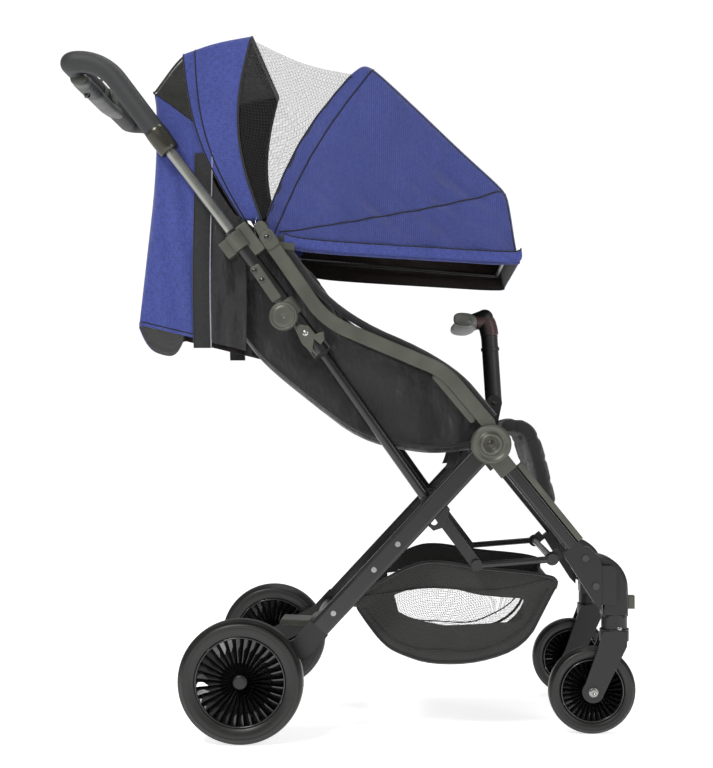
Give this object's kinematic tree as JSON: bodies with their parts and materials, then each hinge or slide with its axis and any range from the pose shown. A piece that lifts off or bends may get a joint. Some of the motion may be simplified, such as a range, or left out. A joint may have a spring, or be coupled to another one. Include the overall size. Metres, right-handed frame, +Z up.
{
  "type": "baby stroller",
  "caption": "Compact folding baby stroller with bladed wheels, swivel forks, sling seat, hooded canopy, basket, bumper bar and telescoping handle.",
  "frame": {"origin": "on the floor under the middle of the stroller's bounding box", "axes": "+X to the front, +Y to the child's left, +Z up"},
  "size_m": [0.8319, 0.474, 1.014],
  "materials": {
    "frame_black": "satin black powder coat",
    "black_plastic": "moulded, fine texture",
    "grey_plastic": "moulded, satin, slight olive tint",
    "tyre_rubber": "smooth black tread",
    "rim_grey": "moulded bladed disc",
    "bright_metal": "polished",
    "bolt_steel": "bolt and rivet heads",
    "foam": "dark foam grip",
    "blue_fabric": "ribbed heather polyester",
    "black_fabric": "woven polyester pad",
    "mesh_fabric": "open mesh"
  },
  "bodies": {
    "chassis": {"front_leg_left": "frame_black", "front_leg_right": "frame_black", "leg_trims": "grey_plastic", "hub_plates": "grey_plastic", "front_bracket_left": "black_plastic", "front_bracket_right": "black_plastic", "caster_housing_left": "black_plastic", "caster_housing_right": "black_plastic", "footrest_bar": "frame_black", "footrest_caps": "grey_plastic", "basket": "mesh_fabric", "basket_clips": "black_plastic", "front_bolts": "bolt_steel"},
    "caster_left": {"fork_left": "black_plastic", "front_axle_left": "bolt_steel"},
    "caster_right": {"fork_right": "black_plastic", "front_axle_right": "bolt_steel"},
    "front_wheel_left": {"front_tyre_left": "tyre_rubber", "front_rim_left": "rim_grey"},
    "front_wheel_right": {"front_tyre_right": "tyre_rubber", "front_rim_right": "rim_grey"},
    "swivel_lock_left": {"swivel_lock_left": "grey_plastic"},
    "swivel_lock_right": {"swivel_lock_right": "grey_plastic"},
    "rear_frame": {"rear_leg_left": "frame_black", "rear_leg_right": "frame_black", "rear_feet": "black_plastic", "rear_crossbar": "frame_black", "rear_axles": "bolt_steel", "strut_brackets": "frame_black", "rear_rivets": "bolt_steel"},
    "rear_wheel_left": {"rear_tyre_left": "tyre_rubber", "rear_rim_left": "rim_grey"},
    "rear_wheel_right": {"rear_tyre_right": "tyre_rubber", "rear_rim_right": "rim_grey"},
    "brake": {"brake_pedal": "grey_plastic"},
    "struts": {"struts": "frame_black"},
    "links": {"basket_links": "frame_black"},
    "hoop": {"basket_hoop": "frame_black"},
    "upper_frame": {"side_rails": "grey_plastic", "hub_caps": "grey_plastic", "seat_cross_tube": "frame_black", "push_tubes": "frame_black", "tube_blocks": "grey_plastic", "bumper_socket": "black_plastic", "seat_pan": "black_fabric", "canopy_rear": "blue_fabric"},
    "sliders": {"strut_sliders": "grey_plastic"},
    "handle": {"handle_tube": "bright_metal", "handle_grip": "foam", "fold_housing": "grey_plastic"},
    "fold_button": {"fold_button": "grey_plastic"},
    "fold_slider": {"fold_slider": "black_plastic"},
    "bumper": {"bumper_post": "black_plastic", "bumper_bar": "black_plastic"},
    "back": {"backrest": "black_fabric"},
    "calf_pad": {"leg_rest": "black_fabric"},
    "canopy_middle": {"canopy_mid": "mesh_fabric", "mid_hoop": "frame_black"},
    "canopy_visor": {"canopy_front": "blue_fabric", "visor_hoop": "frame_black"}
  },
  "joints": [
    {"name": "frame_fold", "type": "hinge", "parent": "chassis", "child": "upper_frame", "pos_m": [0.199, 0, 0.424], "axis": [0, -1, 0], "range_deg": [0, 100], "deforming": ["basket"]},
    {"name": "rear_fold", "type": "hinge", "parent": "chassis", "child": "rear_frame", "pos_m": [0.199, 0, 0.424], "axis": [0, -1, 0], "range_deg": [0, 50]},
    {"name": "strut_fold", "type": "hinge", "parent": "rear_frame", "child": "struts", "pos_m": [0.115, 0, 0.334], "axis": [0, -1, 0], "range_deg": [0, 55]},
    {"name": "strut_slide", "type": "slide", "parent": "upper_frame", "child": "sliders", "axis": [-0.6018, 0, 0.7986], "range_m": [0, 0.1]},
    {"name": "link_fold", "type": "hinge", "parent": "rear_frame", "child": "links", "pos_m": [0.115, 0, 0.334], "axis": [0, 1, 0], "range_deg": [0, 94]},
    {"name": "hoop_fold", "type": "hinge", "parent": "chassis", "child": "hoop", "pos_m": [0.29, 0, 0.257], "axis": [0, -1, 0], "range_deg": [0, 30]},
    {"name": "caster_swivel_left", "type": "hinge", "parent": "chassis", "child": "caster_left", "pos_m": [0.382, 0.1485, 0.16], "axis": [0, 0, 1], "continuous": true},
    {"name": "caster_swivel_right", "type": "hinge", "parent": "chassis", "child": "caster_right", "pos_m": [0.382, -0.1485, 0.16], "axis": [0, 0, 1], "continuous": true},
    {"name": "front_wheel_spin_left", "type": "hinge", "parent": "caster_left", "child": "front_wheel_left", "pos_m": [0.349, 0.1485, 0.064], "axis": [0, 1, 0], "continuous": true},
    {"name": "front_wheel_spin_right", "type": "hinge", "parent": "caster_right", "child": "front_wheel_right", "pos_m": [0.349, -0.1485, 0.064], "axis": [0, 1, 0], "continuous": true},
    {"name": "rear_wheel_spin_left", "type": "hinge", "parent": "rear_frame", "child": "rear_wheel_left", "pos_m": [-0.1555, 0.22, 0.089], "axis": [0, 1, 0], "continuous": true},
    {"name": "rear_wheel_spin_right", "type": "hinge", "parent": "rear_frame", "child": "rear_wheel_right", "pos_m": [-0.1555, -0.22, 0.089], "axis": [0, 1, 0], "continuous": true},
    {"name": "swivel_lock_left_slide", "type": "slide", "parent": "chassis", "child": "swivel_lock_left", "axis": [0, 0, -1], "range_m": [0, 0.008]},
    {"name": "swivel_lock_right_slide", "type": "slide", "parent": "chassis", "child": "swivel_lock_right", "axis": [0, 0, -1], "range_m": [0, 0.008]},
    {"name": "brake_press", "type": "hinge", "parent": "rear_frame", "child": "brake", "pos_m": [-0.05778, 0, 0.14805], "axis": [0, -1, 0], "range_deg": [0, 20]},
    {"name": "handle_slide", "type": "slide", "parent": "upper_frame", "child": "handle", "axis": [0.6018, 0, -0.7986], "range_m": [0, 0.14]},
    {"name": "button_press", "type": "slide", "parent": "handle", "child": "fold_button", "axis": [-1, 0, 0], "range_m": [0, 0.004], "stiffness_N_per_m": 300},
    {"name": "slider_push", "type": "slide", "parent": "handle", "child": "fold_slider", "axis": [0, 1, 0], "range_m": [0, 0.004], "stiffness_N_per_m": 200},
    {"name": "bumper_swing", "type": "hinge", "parent": "upper_frame", "child": "bumper", "pos_m": [0.213, 0, 0.486], "axis": [0, 1, 0], "range_deg": [0, 80]},
    {"name": "backrest_recline", "type": "hinge", "parent": "upper_frame", "child": "back", "pos_m": [0.014, 0, 0.462], "axis": [0, 1, 0], "range_deg": [0, 25]},
    {"name": "calf_pad_lift", "type": "hinge", "parent": "upper_frame", "child": "calf_pad", "pos_m": [0.226, 0, 0.45], "axis": [0, -1, 0], "range_deg": [0, 45]},
    {"name": "visor_fold", "type": "hinge", "parent": "upper_frame", "child": "canopy_visor", "pos_m": [-0.1285, 0, 0.733], "axis": [0, -1, 0], "range_deg": [0, 58], "deforming": ["canopy_front", "canopy_mid"]},
    {"name": "canopy_mid_fold", "type": "hinge", "parent": "upper_frame", "child": "canopy_middle", "pos_m": [-0.1285, 0, 0.733], "axis": [0, -1, 0], "range_deg": [0, 24]}
  ],
  "couplings": [
    {"joint": "rear_fold", "follows": "frame_fold", "ratio": 0.5},
    {"joint": "strut_fold", "follows": "frame_fold", "ratio": 0.55},
    {"joint": "strut_slide", "follows": "frame_fold", "m_per_rad": 0.0573},
    {"joint": "link_fold", "follows": "frame_fold", "ratio": 0.935},
    {"joint": "hoop_fold", "follows": "frame_fold", "ratio": 0.289},
    {"joint": "canopy_mid_fold", "follows": "visor_fold", "ratio": 0.4}
  ]
}
